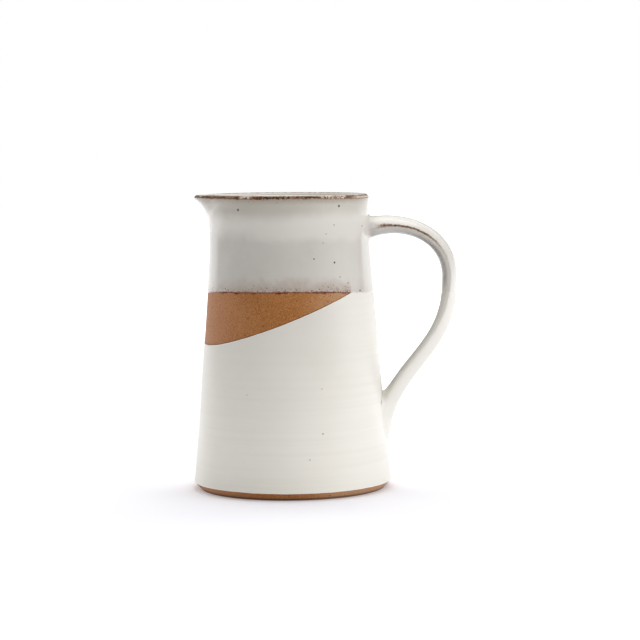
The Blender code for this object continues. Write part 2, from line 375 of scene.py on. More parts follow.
def hand_wave(angle, depth, seed):
    """The slight unevenness of an edge that was dipped by hand."""
    x = math.cos(angle)
    y = math.sin(angle)
    slow = sum(share * math.sin(count * angle + part * seed) for count, share, part in SLOW_WAVES)
    quick = sum(share * noise.noise((size * x, size * y, seed)) for size, share in QUICK_WAVES)
    return depth * (slow + quick)


def upper_edge(angle):
    edge = dip_edge(angle, UPPER_DIP_Z, UPPER_DIP_TILT, UPPER_DIP_RISE)
    return edge + hand_wave(angle, *UPPER_EDGE_WAVE)


def slanted_edge(angle):
    edge = dip_edge(angle, LOWER_DIP_HEIGHT, LOWER_DIP_TILT, LOWER_DIP_RISE)
    return edge + hand_wave(angle, *LOWER_EDGE_WAVE)


# Making meshes


def finished(name, form, material):
    """A bmesh as an object of smooth faces at the origin, with its finish."""
    mesh = bpy.data.meshes.new(name)
    form.to_mesh(mesh)
    form.free()
    mesh.shade_smooth()
    mesh.materials.append(material)
    piece = bpy.data.objects.new(name, mesh)
    bpy.context.scene.collection.objects.link(piece)
    return piece


def turned(profile, steps):
    """A profile of (radius, height) points spun about the Z axis into a closed skin."""
    form = bmesh.new()
    points = [form.verts.new((r, 0, z)) for r, z in profile]
    edges = [form.edges.new(pair) for pair in zip(points, points[1:])]
    bmesh.ops.spin(
        form,
        geom=points + edges,
        cent=(0, 0, 0),
        axis=(0, 0, 1),
        angle=TURN,
        steps=steps,
        use_merge=True,
    )
    bmesh.ops.remove_doubles(form, verts=form.verts, dist=WELD)
    bmesh.ops.recalc_face_normals(form, faces=form.faces)
    return form


def bent_sheet(columns, rows, place, notes):
    """A sheet of squares bent into a closed skin by place(column share, row).

    place gives a point and its notes for the finish, which are kept as attributes under the names in notes.
    """
    form = bmesh.new()
    bmesh.ops.create_grid(form, x_segments=columns, y_segments=rows, size=0.5)
    layers = [form.verts.layers.float.new(name) for name in notes]
    for vert in form.verts:
        column = vert.co.x + 0.5
        row = round((vert.co.y + 0.5) * rows)
        vert.co, values = place(column, row)
        for layer, value in zip(layers, values):
            vert[layer] = value
    bmesh.ops.remove_doubles(form, verts=form.verts, dist=WELD)
    bmesh.ops.recalc_face_normals(form, faces=form.faces)
    return form


def coat_rows(length_rows, under_rows):
    """The outline of a coat's section from end to end and back, with rounded beads at both ends.

    Each row is a share of the length, a distance past that, and a depth, which is 0 on the face of the coat
    and 1 where it touches the clay.
    """
    turns = spread(0, QUARTER, BEAD_ROWS)
    low_bead = [(0.0, -BEAD * math.sin(a), 1 - math.cos(a)) for a in reversed(turns[1:])]
    face = [(share, 0.0, 0.0) for share in spread(0, 1, length_rows)]
    high_bead = [(1.0, BEAD * math.sin(a), 1 - math.cos(a)) for a in turns[1:]]
    under = [(share, 0.0, 1.0) for share in spread(1, 0, under_rows)]
    outline = [*low_bead, *face, *high_bead, *under]
    return [*outline, outline[0]]


def wall_coat(low_edge, high_edge, thickness, length_rows, notes_at):
    """A coat on the outside of the wall, between two edges that vary round it."""
    section = coat_rows(length_rows, length_rows // 2)

    def place(column, row):
        angle = TURN * column
        share, past, depth = section[row]
        low = low_edge(angle) + BEAD
        high = high_edge(angle) - BEAD
        z = low + share * (high - low) + past
        lift = CLAY_LIFT + thickness * (1 - depth) - SUNK * depth
        return on_wall(angle, z, lift), notes_at(angle, z)

    return bent_sheet(TURN_STEPS, len(section) - 1, place, GLAZE_NOTES)


# Finishes


def paint(red, green, blue):
    """A colour as it looks on a screen, 0 to 255, as the renderer's linear colour."""

    def linear(value):
        share = value / 255
        return share / 12.92 if share <= 0.04045 else ((share + 0.055) / 1.055) ** 2.4

    return (linear(red), linear(green), linear(blue), 1)


# Bare clay, its sand and grit, and the iron line that the upper dip leaves on it; painted sheen towards the
# lip, paler clay towards the handle that is partly a haze and partly painted light, painted shade above the
# slanted edge, and a painted contact shadow at the foot
CLAY = paint(158, 101, 50)
CLAY_CLOUD = paint(168, 112, 64)
CLAY_SHEEN = paint(184, 132, 96)
CLAY_HAZE_AND_LIGHT = paint(184, 146, 110)
SAND = paint(204, 154, 98)
DARK_SAND = paint(110, 62, 30)
GRIT = paint(88, 48, 26)
IRON_RED = paint(104, 38, 16)
SLANT_SHADE = paint(92, 54, 30)
FOOT_SHADOW = paint(70, 42, 24)

# Thin glaze on the rim
BURNT = paint(64, 37, 19)
BURNT_CLOUD = paint(158, 122, 82)
BURNT_RED = paint(116, 56, 30)
RIM_PATCH = paint(208, 190, 176)
RIM_GLAZE = paint(222, 217, 208)

# Glossy glaze
GLOSS = paint(195, 191, 182)
GLOSS_CLOUD = paint(203, 199, 191)
GLOSS_LIT = paint(222, 219, 212)
GLOSS_BAND = paint(218, 215, 206)
GLOSS_OLIVE = paint(160, 154, 138)
GLOSS_THIN = paint(138, 120, 98)
GLOSS_PINK = paint(168, 148, 132)
GLOSS_LIT_PALE = paint(236, 233, 226)
FLECK = paint(100, 62, 40)
SPECK = paint(50, 38, 32)
RUST = paint(92, 30, 12)
RUST_CLOUD = paint(142, 88, 60)
BROKEN = paint(80, 50, 28)
BROKEN_CLOUD = paint(150, 110, 74)

# Satin glaze, paler towards the handle by painted light and with a painted highlight on its edges, and the
# painted shade on the inside of the strap
SATIN_HIGH = paint(216, 213, 203)
SATIN_HIGH_CLOUD = paint(220, 217, 208)
SATIN = paint(235, 232, 221)
SATIN_CLOUD = paint(238, 235, 225)
SATIN_LIT_SIDE = paint(238, 236, 228)
THROWN_LINE = paint(216, 211, 198)
SATIN_SPECK = paint(128, 106, 82)
SATIN_EDGE_HIGHLIGHT = paint(250, 248, 242)
SATIN_LIT_PALE = paint(231, 228, 220)
STRAP_SHADE_PAINT = paint(104, 99, 90)


def add_node(tree, kind, inputs=None, **settings):
    """A node with its settings, its inputs set to values or linked to sockets."""
    node = tree.nodes.new(kind)
    for name, value in settings.items():
        setattr(node, name, value)
    for key, value in (inputs or {}).items():
        if isinstance(value, bpy.types.NodeSocket):
            tree.links.new(value, node.inputs[key])
        else:
            node.inputs[key].default_value = value
    return node


def mixed(tree, share, first, second):
    inputs = {0: share, 6: first, 7: second}
    return add_node(tree, "ShaderNodeMix", inputs, data_type="RGBA").outputs[2]


def maths(tree, operation, first, second):
    return add_node(tree, "ShaderNodeMath", {0: first, 1: second}, operation=operation).outputs[0]


def times(tree, first, second):
    return maths(tree, "MULTIPLY", first, second)


def plus(tree, first, second):
    return maths(tree, "ADD", first, second)


def minus(tree, first, second):
    return maths(tree, "SUBTRACT", first, second)


def larger(tree, first, second):
    return maths(tree, "MAXIMUM", first, second)


def length_of(tree, place):
    return add_node(tree, "ShaderNodeVectorMath", {0: place}, operation="LENGTH").outputs["Value"]


def parts_of(tree, place):
    return add_node(tree, "ShaderNodeSeparateXYZ", {0: place}).outputs


def eased(tree, value, low, high, to_low=0.0, to_high=1.0):
    """The value carried smoothly from the range low to high onto another range, and held there."""
    inputs = {"Value": value, "From Min": low, "From Max": high, "To Min": to_low, "To Max": to_high}
    return add_node(tree, "ShaderNodeMapRange", inputs, interpolation_type="SMOOTHSTEP").outputs[0]


def note(tree, name):
    return add_node(tree, "ShaderNodeAttribute", attribute_name=name).outputs["Fac"]


def clouds(tree, place, scale, detail=2.0, roughness=0.5):
    inputs = {"Vector": place, "Scale": scale, "Detail": detail, "Roughness": roughness}
    return add_node(tree, "ShaderNodeTexNoise", inputs).outputs["Fac"]


def swing(tree, place, amount, scale, detail=2.0, roughness=0.5):
    """Clouds that swing either side of 0, to fray an edge."""
    return times(tree, minus(tree, clouds(tree, place, scale, detail, roughness), 0.5), amount)


def new_group(name, inputs, outputs):
    """An empty shader group with float inputs of (name, value) and outputs of (name, socket kind)."""
    group = bpy.data.node_groups.new(name, "ShaderNodeTree")
    group.interface.new_socket("Place", in_out="INPUT", socket_type="NodeSocketVector")
    for socket_name, value in inputs:
        socket = group.interface.new_socket(socket_name, in_out="INPUT", socket_type="NodeSocketFloat")
        socket.default_value = value
    for socket_name, kind in outputs:
        group.interface.new_socket(socket_name, in_out="OUTPUT", socket_type=kind)
    start = group.nodes.new("NodeGroupInput")
    end = group.nodes.new("NodeGroupOutput")
    return group, start, end


def speck_group():
    """Scattered iron specks: a few cells of a random pattern get a spot of random width."""
    inputs = [("Scale", 200.0), ("Share", 0.1), ("Width", 0.2)]
    group, start, end = new_group("iron specks", inputs, [("Mask", "NodeSocketFloat")])
    ins = start.outputs
    cells = add_node(group, "ShaderNodeTexVoronoi", {"Vector": ins["Place"], "Scale": ins["Scale"]})
    chance = add_node(group, "ShaderNodeSeparateColor", {0: cells.outputs["Color"]})
    chosen = maths(group, "LESS_THAN", chance.outputs[0], ins["Share"])
    wobble = times(group, chance.outputs[1], ins["Width"])
    width = plus(group, wobble, times(group, ins["Width"], 0.4))
    core = times(group, width, 0.5)
    spot = eased(group, cells.outputs["Distance"], width, core)
    mask = times(group, spot, chosen)
    group.links.new(mask, end.inputs["Mask"])
    return group


def mottle_group():
    """Broad soft clouds with finer ones inside, as glaze pools and thins."""
    inputs = [("Scale", 30.0), ("Fine", 0.35)]
    group, start, end = new_group("glaze mottle", inputs, [("Cloud", "NodeSocketFloat")])
    ins = start.outputs
    broad = clouds(group, ins["Place"], ins["Scale"], 3.0)
    fine_scale = times(group, ins["Scale"], 9.0)
    fine = clouds(group, ins["Place"], fine_scale, 3.0, 0.6)
    part = times(group, minus(group, fine, 0.5), ins["Fine"])
    whole = plus(group, broad, part)
    group.links.new(eased(group, whole, 0.30, 0.70), end.inputs["Cloud"])
    return group


def place_group(tree, group, place, **inputs):
    """One of the shared groups, placed in a finish with its own values."""
    node = add_node(tree, "ShaderNodeGroup", node_tree=group)
    tree.links.new(place, node.inputs["Place"])
    for name, value in inputs.items():
        node.inputs[name].default_value = value
    return node.outputs[0]


def marked_specks(tree, place, specks):
    """A mask of single specks, each given by its place on the jug and its width."""
    mask = None
    for centre, width in specks:
        away = add_node(tree, "ShaderNodeVectorMath", {0: place, 1: centre}, operation="DISTANCE")
        spot = eased(tree, away.outputs["Value"], SPECK_EDGE * width, SPECK_CORE * width)
        mask = spot if mask is None else larger(tree, mask, spot)
    return mask


def new_finish(name):
    material = bpy.data.materials.new(name)
    material.use_nodes = True
    tree = material.node_tree
    place = add_node(tree, "ShaderNodeTexCoord").outputs["Object"]
    return material, tree, tree.nodes["Principled BSDF"], place


def bump(tree, height, strength, distance):
    inputs = {"Strength": strength, "Distance": distance, "Height": height}
    return add_node(tree, "ShaderNodeBump", inputs).outputs["Normal"]


CLAY_NOTES = ("over_rim", "under_dip", "over_slant")
GLAZE_NOTES = ("from_dip", "from_rim", "from_ridge", "worn", "over_clay", "pale", "strap_shade")
SPECKS = speck_group()
MOTTLE = mottle_group()


def clay_finish(glint_patches):
    """Bare fired stoneware, warm and sandy; thin glaze on its rim is burnt outside and pale inside."""
    material, tree, shader, place = new_finish("bare stoneware")
    cloud = place_group(tree, MOTTLE, place, Scale=45.0, Fine=0.6)
    parts = parts_of(tree, place)
    side = parts["X"]
    orange = mixed(tree, cloud, CLAY, CLAY_CLOUD)
    # Painted sheen: the clay turns pinker and paler towards the lip.
    sheened = mixed(tree, eased(tree, side, -0.018, -0.060, 0.0, 0.9), orange, CLAY_SHEEN)
    # Towards the handle the clay turns paler, partly a haze on it and partly painted light.
    body = mixed(tree, eased(tree, side, 0.002, 0.036, 0.0, 0.8), sheened, CLAY_HAZE_AND_LIGHT)
    sand = clouds(tree, place, 1700.0, 2.0, 0.7)
    sandy = mixed(tree, eased(tree, sand, 0.53, 0.70, 0.0, 0.7), body, SAND)
    gritty = mixed(tree, eased(tree, sand, 0.44, 0.30), sandy, DARK_SAND)
    grit = place_group(tree, SPECKS, place, Scale=420.0, Share=0.10, Width=0.30)
    speckled = mixed(tree, times(tree, grit, 0.5), gritty, GRIT)

    ragged = swing(tree, place, 0.0030, 260.0, 4.0, 0.6)
    unevenness = eased(tree, clouds(tree, place, 70.0), 0.35, 0.60, 0.35, 1.0)
    strength = times(tree, eased(tree, side, -0.052, -0.038), unevenness)
    iron_line = eased(tree, plus(tree, note(tree, "under_dip"), ragged), 0.0008, 0.0002)
    iron = times(tree, iron_line, strength)
    ironed = mixed(tree, iron, speckled, IRON_RED)
    # Painted shade: a dark line on the clay just above the slanted edge of the lower coat.
    slant_shade = eased(tree, note(tree, "over_slant"), 0.0008, 0.0002, 0.0, 0.7)
    lined = mixed(tree, slant_shade, ironed, SLANT_SHADE)

    # Painted contact shadow: the lowest few millimetres at the outer edge of the foot are darkened.
    low = eased(tree, parts["Z"], 0.0022, 0.0005, 0.0, 0.7)
    foot_contact_shadow = times(tree, low, eased(tree, length_of(tree, place), 0.0575, 0.0590))
    foot_shadowed = mixed(tree, foot_contact_shadow, lined, FOOT_SHADOW)

    frayed = plus(tree, note(tree, "over_rim"), swing(tree, place, 0.36, 850.0, 3.0))
    rim = eased(tree, frayed, -0.08, 0.0)
    burnt_cloud = eased(tree, clouds(tree, place, 700.0, 2.0, 0.6), 0.45, 0.61)
    burnt = mixed(tree, burnt_cloud, BURNT, BURNT_CLOUD)
    tone = eased(tree, clouds(tree, place, 90.0), 0.42, 0.66)
    toned = mixed(tree, times(tree, tone, 0.5), burnt, BURNT_RED)
    chance = eased(tree, clouds(tree, place, 170.0, 3.0), 0.66, 0.72)
    streak = eased(tree, clouds(tree, place, 800.0), 0.42, 0.54)
    # The marked patches are partly painted highlights on the glossy rim.
    patch = larger(tree, chance, marked_specks(tree, place, glint_patches))
    streaked = times(tree, patch, streak)
    by_handle = eased(tree, side, 0.036, 0.047, 0.0, 0.9)
    clean = times(tree, by_handle, eased(tree, frayed, 0.24, 0.12))
    patched = mixed(tree, larger(tree, streaked, clean), toned, RIM_PATCH)
    at_lip = eased(tree, side, -0.048, -0.056, 0.0, 0.10)
    behind = eased(tree, parts["Y"], -0.020, 0.030, 0.0, 0.28)
    crown_place = minus(tree, plus(tree, frayed, at_lip), behind)
    pale = eased(tree, crown_place, 0.35, 0.45)
    crown = mixed(tree, pale, patched, RIM_GLAZE)
    tree.links.new(mixed(tree, rim, foot_shadowed, crown), shader.inputs["Base Color"])
    tree.links.new(eased(tree, rim, 0.0, 1.0, 0.85, 0.35), shader.inputs["Roughness"])
    tree.links.new(bump(tree, sand, 0.5, 0.0002), shader.inputs["Normal"])
    shader.inputs["Sheen Weight"].default_value = 0.15
    shader.inputs["Specular IOR Level"].default_value = 0.2
    return material


def gloss_finish(name, marks, shine):
    """Glossy grey-white glaze: mottled, breaking brown where it is thin, flecked with iron near the dip."""
    material, tree, shader, place = new_finish(name)
    from_dip = note(tree, "from_dip")
    from_rim = note(tree, "from_rim")
    from_ridge = note(tree, "from_ridge")
    worn = note(tree, "worn")
    over_clay = note(tree, "over_clay")
    pale = note(tree, "pale")

    cloud = place_group(tree, MOTTLE, place, Scale=24.0, Fine=0.2)
    side = parts_of(tree, place)["X"]
    grey = mixed(tree, cloud, GLOSS, GLOSS_CLOUD)
    # Painted light: the coat turns paler towards the handle.
    base = mixed(tree, eased(tree, side, 0.005, 0.050, 0.0, 0.45), grey, GLOSS_LIT)
    band_place = plus(tree, from_rim, swing(tree, place, 0.018, 42.0))
    top_place = plus(tree, band_place, eased(tree, side, 0.004, 0.026, 0.0, 0.005))
    low_place = plus(tree, band_place, eased(tree, side, 0.004, -0.012, 0.0, 0.004))
    band_top = eased(tree, top_place, 0.008, 0.016)
    band = times(tree, band_top, eased(tree, low_place, 0.031, 0.023))
    banded = mixed(tree, times(tree, band, 0.8), base, GLOSS_BAND)
    olive_depth = eased(tree, side, -0.020, 0.030, 0.0, 0.003)
    olive = eased(tree, plus(tree, from_rim, olive_depth), 0.018, 0.0010, 0.0, 0.85)
    olived = mixed(tree, olive, banded, GLOSS_OLIVE)
    off_lip = eased(tree, side, -0.058, -0.050, 0.1, 0.6)
    thinned = times(tree, eased(tree, from_rim, 0.0042, 0.0006), off_lip)
    rim_toned = mixed(tree, thinned, olived, GLOSS_THIN)

    # Painted light on the lip side, below the neck.
    lip_side = eased(tree, side, -0.032, -0.047, 0.0, 0.35)
    lip_light = times(tree, lip_side, eased(tree, from_rim, 0.028, 0.042))
    lip_lit = mixed(tree, lip_light, rim_toned, GLOSS_LIT)
    near_dip = plus(tree, from_dip, swing(tree, place, 0.010, 160.0, 3.0))
    cover = minus(tree, eased(tree, over_clay, 0.0, 1.0, 0.25, 1.0), times(tree, pale, 0.25))
    grown = eased(tree, side, -0.056, -0.022, 0.25, 0.65)
    above_dip = times(tree, eased(tree, near_dip, 0.011, 0.0003), grown)
    pink = times(tree, above_dip, cover)
    toned = mixed(tree, pink, lip_lit, GLOSS_PINK)
    # The pale note makes the strap and the lining paler: partly a paler coat, partly painted light.
    lightened = mixed(tree, pale, toned, GLOSS_LIT_PALE)
    # Painted shade on the inner face of the strap.
    shaded = mixed(tree, note(tree, "strap_shade"), lightened, STRAP_SHADE_PAINT)

    fine = clouds(tree, place, 1150.0, 2.0, 0.6)
    nearness = eased(tree, near_dip, 0.0075, 0.0003)
    denser = plus(tree, fine, times(tree, nearness, 0.13))
    fleck = times(tree, eased(tree, denser, 0.67, 0.77), nearness)
    flecked = mixed(tree, times(tree, fleck, cover), shaded, FLECK)
    under_rim = eased(tree, from_rim, 0.0050, 0.0008, 0.0, 0.6)
    rim_fleck = times(tree, eased(tree, fine, 0.60, 0.70), under_rim)
    freckled = mixed(tree, rim_fleck, flecked, FLECK)
    stray = place_group(tree, SPECKS, place, Scale=150.0, Share=0.05, Width=0.08)
    dark = larger(tree, stray, marked_specks(tree, place, marks))
    specked = mixed(tree, times(tree, dark, 0.95), freckled, SPECK)

    fray = swing(tree, place, 0.0016, 700.0, 3.0)
    edge_line = eased(tree, plus(tree, from_dip, fray), 0.0011, 0.0004)
    edge = times(tree, edge_line, over_clay)
    rust_cloud = eased(tree, clouds(tree, place, 300.0, 3.0), 0.35, 0.65)
    rusted = mixed(tree, edge, specked, mixed(tree, rust_cloud, RUST, RUST_CLOUD))
    rim_line = eased(tree, plus(tree, from_rim, times(tree, fray, 2.0)), 0.0003, 0.0)
    ridge_fray = times(tree, fray, 0.6)
    ridge_line = eased(tree, plus(tree, from_ridge, ridge_fray), RIDGE_WIDTH, RIDGE_WIDTH / 4)
    ridge_shade = times(tree, ridge_line, eased(tree, worn, 0.0, 1.0, 0.10, 1.0))
    broken = larger(tree, rim_line, ridge_shade)
    brown = mixed(tree, eased(tree, fine, 0.40, 0.60), BROKEN, BROKEN_CLOUD)
    tree.links.new(mixed(tree, broken, rusted, brown), shader.inputs["Base Color"])

    dulled = clouds(tree, place, 60.0)
    tree.links.new(eased(tree, dulled, 0.2, 0.8, 0.10, 0.20), shader.inputs["Roughness"])
    skin = clouds(tree, place, 240.0)
    tree.links.new(bump(tree, skin, 0.10, 0.0003), shader.inputs["Normal"])
    shader.inputs["Specular IOR Level"].default_value = shine
    return material


def satin_finish(name, marks, shine):
    """Satin cream glaze: even, with faint throwing lines, sparse specks and a painted highlight along its
    edges.
    """
    material, tree, shader, place = new_finish(name)
    from_dip = note(tree, "from_dip")
    cloud = place_group(tree, MOTTLE, place, Scale=20.0, Fine=0.2)
    parts = parts_of(tree, place)
    # The coat is darker high up and paler towards the foot.
    thin = mixed(tree, cloud, SATIN_HIGH, SATIN_HIGH_CLOUD)
    thick = mixed(tree, cloud, SATIN, SATIN_CLOUD)
    by_height = mixed(tree, eased(tree, parts["Z"], 0.125, 0.010), thin, thick)
    # Painted light: the coat turns paler towards the handle.
    base = mixed(tree, eased(tree, parts["X"], 0.020, 0.060, 0.0, 0.9), by_height, SATIN_LIT_SIDE)
    lines = add_node(tree, "ShaderNodeMapping", {"Vector": place, "Scale": (6.0, 6.0, 420.0)})
    thrown = clouds(tree, lines.outputs[0], 1.0, 3.0)
    lined = mixed(tree, eased(tree, thrown, 0.35, 0.75, 0.0, 0.15), base, THROWN_LINE)
    stray = place_group(tree, SPECKS, place, Scale=120.0, Share=0.04, Width=0.06)
    dark = larger(tree, stray, marked_specks(tree, place, marks))
    specked = mixed(tree, times(tree, dark, 0.7), lined, SATIN_SPECK)
    # Painted highlight along the coat's top and foot edges.
    edge_highlight = eased(tree, from_dip, 0.0010, 0.0003, 0.0, 0.6)
    highlighted = mixed(tree, edge_highlight, specked, SATIN_EDGE_HIGHLIGHT)
    # The pale note makes the strap paler: partly a paler coat, partly painted light.
    lightened = mixed(tree, note(tree, "pale"), highlighted, SATIN_LIT_PALE)
    # Painted shade on the inner face of the strap.
    shaded = mixed(tree, note(tree, "strap_shade"), lightened, STRAP_SHADE_PAINT)
    tree.links.new(shaded, shader.inputs["Base Color"])
    tree.links.new(eased(tree, cloud, 0.0, 1.0, 0.36, 0.44), shader.inputs["Roughness"])
    tree.links.new(bump(tree, thrown, 0.04, 0.0002), shader.inputs["Normal"])
    shader.inputs["Specular IOR Level"].default_value = shine
    return material


# Camera, and the places of the specks seen through it


def camera_axes():
    """Right, up and forward of the camera, tipped down and rolled as in the photograph."""
    forward = Vector((0, math.cos(CAMERA_PITCH), -math.sin(CAMERA_PITCH)))
    level_right = Vector((1, 0, 0))
    level_up = level_right.cross(forward)
    right = math.cos(CAMERA_ROLL) * level_right + math.sin(CAMERA_ROLL) * level_up
    return right, right.cross(forward), forward


def make_camera():
    data = bpy.data.cameras.new("camera")
    data.sensor_width = SENSOR
    data.lens = SENSOR * FOCAL_PIXELS / FRAME_PIXELS
    right, up, forward = camera_axes()
    camera = bpy.data.objects.new("camera", data)
    camera.matrix_world = Matrix((right, up, -forward)).transposed().to_4x4()
    camera.location = CAMERA_PLACE
    bpy.context.scene.collection.objects.link(camera)
    bpy.context.scene.camera = camera


def seen_on_wall(pixel_x, pixel_y):
    """The point of the glazed wall that the camera sees at a pixel of the photograph."""
    right, up, forward = camera_axes()
    across = (pixel_x - FRAME_PIXELS / 2) / FOCAL_PIXELS
    upward = (FRAME_PIXELS / 2 - pixel_y) / FOCAL_PIXELS
    ray = forward + across * right + upward * up
    near = -CAMERA_PLACE.y - 2 * BASE_RADIUS
    far = -CAMERA_PLACE.y
    for _ in range(HALVINGS):
        middle = (near + far) / 2
        place = CAMERA_PLACE + middle * ray
        if place.xy.length > outer_radius(place.z) + COAT_FACE:
            near = middle
        else:
            far = middle
    return CAMERA_PLACE + near * ray


def seen_specks(specks):
    return [(seen_on_wall(x, y), width / 1000) for x, y, width in specks]


# Pieces


def make_body(finish):
    """The thrown clay: floor, inner wall, rounded rim, outer wall and chamfered foot."""
    corner = arc(CORNER_R, CORNER_Z, FLOOR_CORNER, FLOOR_CORNER, -QUARTER, 0, CORNER_ROWS)
    inner = [(outer_radius(z) - WALL, z) for z in rows_between(CORNER_Z, CROWN_Z)[1:]]
    rim_middle = outer_radius(CROWN_Z) + (CLAY_LIFT - WALL) / 2
    rim_half = (WALL + CLAY_LIFT) / 2
    crown = arc(rim_middle, CROWN_Z, rim_half, RIM_RADIUS, math.pi, 0, RIM_ROWS)[1:-1]
    outer = [(outer_radius(z) + CLAY_LIFT, z) for z in rows_between(CROWN_Z, FOOT_HEIGHT)]
    foot_radius = BASE_RADIUS - FOOT_INSET
    foot_slope = -math.atan2(FOOT_INSET, FOOT_HEIGHT)
    foot = arc(foot_radius, FOOT_EDGE, FOOT_EDGE, FOOT_EDGE, foot_slope, -QUARTER, FOOT_ROWS)
    form = turned([(0, FLOOR), *corner, *inner, *crown, *outer, *foot, (0, 0)], TURN_STEPS)
    over_rim, under_dip, over_slant = (form.verts.layers.float.new(name) for name in CLAY_NOTES)
    for vert in form.verts:
        x, y, z = vert.co
        radius = math.hypot(x, y)
        vert[over_rim] = -FAR
        vert[under_dip] = FAR
        vert[over_slant] = FAR
        if radius < WALL or z < FOOT_EDGE:
            continue
        angle = math.atan2(y, x)
        inside = radius < outer_radius(z) - WALL / 2
        below = (CROWN_Z - z) / (math.pi * RIM_RADIUS)
        if z > CROWN_Z:
            vert[over_rim] = math.atan2(z - CROWN_Z, radius - rim_middle) / math.pi
        else:
            vert[over_rim] = 1 + below if inside else -below
        if FOOT_FLARE_HEIGHT < z < NECK_Z:
            vert[under_dip] = upper_edge(angle) - z
            vert[over_slant] = z - slanted_edge(angle)
        grown = radius + (inner_rings(angle, z) if inside else hand_marks(angle, z))
        vert.co = pulled(Vector((grown * math.cos(angle), grown * math.sin(angle), z)))
    return finished("thrown_body", form, finish)


def make_lining(finish):
    """The glaze on the inside, from the floor up to a rounded edge under the bare rim."""
    top = GLAZED_TOP - BEAD
    wet_corner = FLOOR_CORNER - LINING
    wet = arc(CORNER_R, CORNER_Z, wet_corner, wet_corner, -QUARTER, 0, CORNER_ROWS)
    wet += [(outer_radius(z) - WALL - LINING, z) for z in rows_between(CORNER_Z, top)[1:]]
    bead = arc(outer_radius(GLAZED_TOP) - WALL, top, -LINING, BEAD, 0, QUARTER, BEAD_ROWS)[1:]
    under = [(outer_radius(z) - WALL + SUNK, z) for z in rows_between(top, CORNER_Z)]
    under_corner = arc(CORNER_R, CORNER_Z - SUNK, FLOOR_CORNER, FLOOR_CORNER, 0, -QUARTER, CORNER_ROWS)[1:]
    profile = [(0, FLOOR + LINING), *wet, *bead, *under, *under_corner, (0, FLOOR - SUNK)]
    form = turned(profile, LINING_STEPS)
    layers = [form.verts.layers.float.new(name) for name in GLAZE_NOTES]
    for vert in form.verts:
        x, y, z = vert.co
        # The lining gets the pale note in full, partly painted light inside the jug.
        for layer, value in zip(layers, (FAR, FAR, FAR, 0.0, 0.0, 1.0, 0.0)):
            vert[layer] = value
        radius = math.hypot(x, y)
        if radius < WALL:
            continue
        angle = math.atan2(y, x)
        grown = radius + inner_rings(angle, z)
        vert.co = pulled(Vector((grown * math.cos(angle), grown * math.sin(angle), z)))
    return finished("lining_glaze", form, finish)


def make_upper_coat(finish):
    """The glossy coat from under the rim down to its dip edge, part of which lies on bare clay."""

    def top(angle):
        return GLAZED_TOP + hand_wave(angle, *RIM_EDGE_WAVE)

    def notes_at(angle, z):
        edge = upper_edge(angle)
        bare = smooth_step(BARE_START, BARE_FULL, edge - slanted_edge(angle))
        return (z - edge, top(angle) - z, FAR, 0.0, bare, 0.0, 0.0)

    rows = math.ceil(UPPER_DIP_DEPTH / COAT_ROW)
    return finished("upper_coat", wall_coat(upper_edge, top, UPPER_COAT, rows, notes_at), finish)


def make_lower_coat(finish):
    """The satin coat from the foot up to its slanted edge, or to just under the upper coat."""

    def top(angle):
        return min(slanted_edge(angle), upper_edge(angle) + DIP_OVERLAP)

    def foot(angle):
        return FOOT_HEIGHT + hand_wave(angle, *FOOT_EDGE_WAVE)

    def notes_at(angle, z):
        from_slant = slanted_edge(angle) - z
        return (min(from_slant, z - foot(angle)), FAR, FAR, 0.0, 0.0, 0.0, 0.0)

    rows = math.ceil(UPPER_DIP_Z / ROW)
    return finished("lower_coat", wall_coat(foot, top, LOWER_COAT, rows, notes_at), finish)


# The strap handle


def strap_route():
    """Points down the strap's centreline, from the wall at the top to inside it at the bottom."""
    top = Vector((outer_radius(HANDLE_TOP_Z) - WALL / 2, 0, HANDLE_TOP_Z))
    out_x = outer_radius(HANDLE_OUT_Z) + COATS + FINGER_ROOM + STRAP_THICKNESS / 2
    out = Vector((out_x, 0, HANDLE_OUT_Z))
    bottom_x = outer_radius(HANDLE_BOTTOM_HEIGHT) - WALL / 2
    bottom = Vector((bottom_x, 0, HANDLE_BOTTOM_HEIGHT))
    arch_span = out - top
    fall_span = out - bottom
    top_pull = Vector((TOP_PULL_OUT * arch_span.x, 0, -TOP_PULL_UP * arch_span.z))
    bottom_pull = Vector((BOTTOM_PULL_OUT * fall_span.x, 0, BOTTOM_PULL_UP * fall_span.z))
    above = out - Vector((0, 0, ARCH_PULL * arch_span.z))
    below = out - Vector((0, 0, FALL_PULL * fall_span.z))
    arch = interpolate_bezier(top, top + top_pull, above, out, ROUTE_STEPS)
    fall = interpolate_bezier(out, below, bottom + bottom_pull, bottom, ROUTE_STEPS)
    root = top - top_pull.normalized() * ROOT_DEPTH
    tail = bottom + TAIL_TURN.normalized() * TAIL_DEPTH
    return [root, *arch, *fall[1:], tail]


